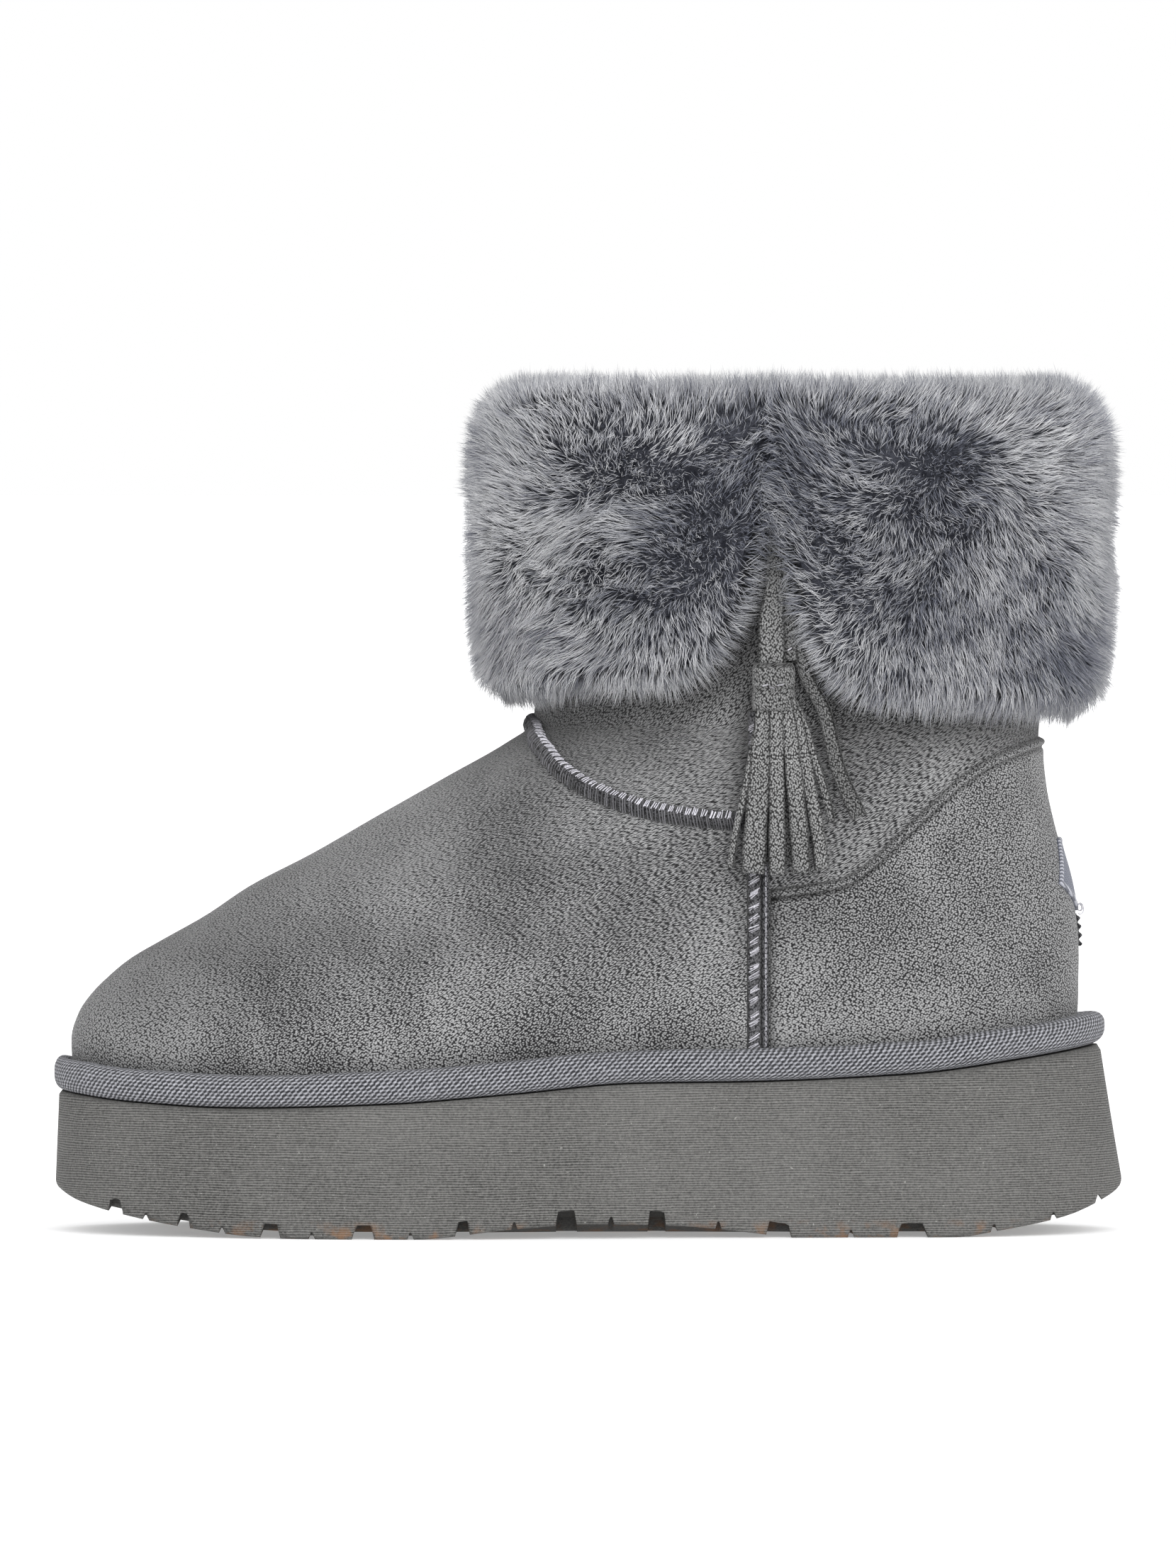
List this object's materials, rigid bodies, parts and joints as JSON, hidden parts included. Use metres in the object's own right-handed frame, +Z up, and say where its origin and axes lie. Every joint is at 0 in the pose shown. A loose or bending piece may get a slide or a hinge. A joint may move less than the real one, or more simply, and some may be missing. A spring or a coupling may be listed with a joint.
{
  "type": "snow boot",
  "caption": "Low winter boot for the left foot: suede upper on a lugged platform sole, folded fur cuff with a side slit and hanging tassel.",
  "frame": {"origin": "on the floor, under the middle of the boot's box", "axes": "+X towards the heel, -X towards the toe, +Y towards the wearer's inner side, +Z up"},
  "size_m": [0.2778, 0.1302, 0.222],
  "materials": {
    "sole_foam": "matt moulded foam with fine horizontal ribs",
    "suede": "napped faux suede",
    "tape": "herringbone woven tape",
    "fur": "deep faux fur",
    "pile": "short faux fur pile",
    "label": "woven label, bare"
  },
  "bodies": {
    "root": {"sole": "sole_foam", "insole": "pile", "upper": "suede", "welt_binding": "tape", "instep_seam": "suede", "side_seam_outer": "suede", "side_seam_inner": "suede", "heel_quarter": "suede", "heel_label": "label", "fur_cuff": "fur", "tassel_strap": "suede", "tassel": "suede"}
  },
  "joints": []
}
